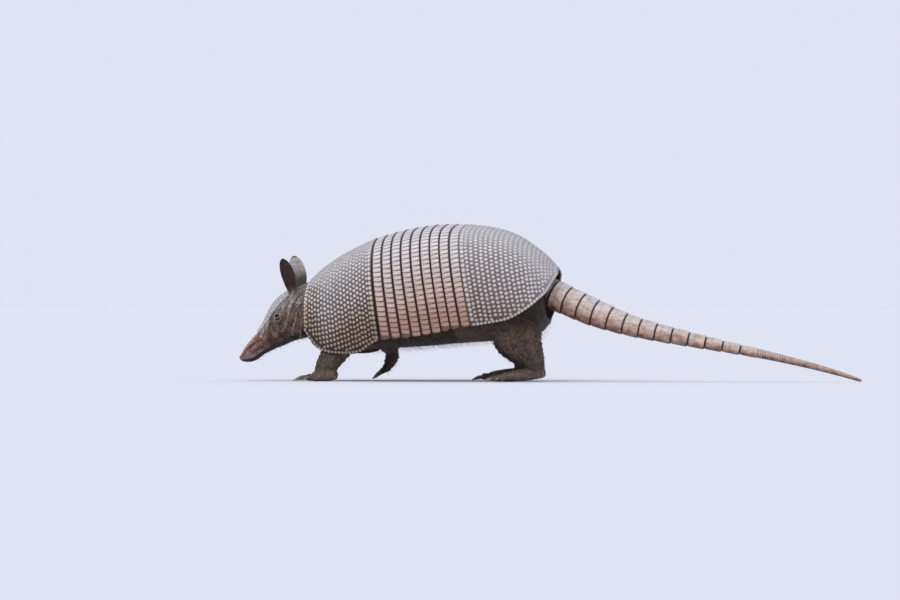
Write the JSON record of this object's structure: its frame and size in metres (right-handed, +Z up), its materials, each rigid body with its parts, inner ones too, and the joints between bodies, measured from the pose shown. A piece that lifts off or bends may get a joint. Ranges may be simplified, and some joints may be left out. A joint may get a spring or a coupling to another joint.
{
  "type": "nine-banded armadillo model",
  "caption": "Life-size still model of a walking armadillo: banded horny shell, long ringed tail trailing to the floor, lowered head with upright ears.",
  "frame": {"origin": "on the floor, half way between snout tip and tail tip, on the middle line of the shell", "axes": "+Z up; the animal faces -X, its left side towards -Y; the tail trails towards +X"},
  "size_m": [0.753, 0.1478, 0.189],
  "materials": {
    "shell": "gray-brown horn with raised cream scutes, satin",
    "band": "beige horn scutes with dark seams, pinkish towards the lower edge, satin",
    "tail_horn": "pinkish-tan horn rings with dark seams, satin",
    "head_plate": "pale gray polygonal scutes, satin",
    "skin": "gray-brown folded skin with small scales, pinkish on the snout, matt",
    "belly_skin": "very dark brown warty skin with sparse pale hairs, matt",
    "leg_skin": "dark brown scaly skin, matt",
    "ear": "thin pebbled skin, dark inside and gray outside, matt",
    "claw": "brown horn, smooth satin",
    "eye": "black, wet gloss"
  },
  "bodies": {
    "root": {"head": "skin", "head_shield": "head_plate", "eye_left": "eye", "eye_right": "eye", "ear_left": "ear", "ear_right": "ear", "neck": "skin", "shield_shoulder": "shell", "band_1": "band", "band_2": "band", "band_3": "band", "band_4": "band", "band_5": "band", "band_6": "band", "band_7": "band", "band_8": "band", "band_9": "band", "shield_pelvic": "shell", "trunk": "belly_skin", "tail_root": "skin", "tail_ring_1": "tail_horn", "tail_ring_2": "tail_horn", "tail_ring_3": "tail_horn", "tail_ring_4": "tail_horn", "tail_ring_5": "tail_horn", "tail_ring_6": "tail_horn", "tail_ring_7": "tail_horn", "tail_ring_8": "tail_horn", "tail_ring_9": "tail_horn", "tail_ring_10": "tail_horn", "tail_ring_11": "tail_horn", "tail_ring_12": "tail_horn", "tail_ring_13": "tail_horn", "tail_tip": "tail_horn", "leg_front_left": "leg_skin", "leg_front_right": "leg_skin", "leg_hind_left": "leg_skin", "leg_hind_right": "leg_skin", "claw_front_left_1": "claw", "claw_front_left_2": "claw", "claw_front_left_3": "claw", "claw_front_left_4": "claw", "claw_front_right_1": "claw", "claw_front_right_2": "claw", "claw_front_right_3": "claw", "claw_front_right_4": "claw", "claw_hind_left_1": "claw", "claw_hind_left_2": "claw", "claw_hind_left_3": "claw", "claw_hind_left_4": "claw", "claw_hind_left_5": "claw", "claw_hind_right_1": "claw", "claw_hind_right_2": "claw", "claw_hind_right_3": "claw", "claw_hind_right_4": "claw", "claw_hind_right_5": "claw"}
  },
  "joints": []
}
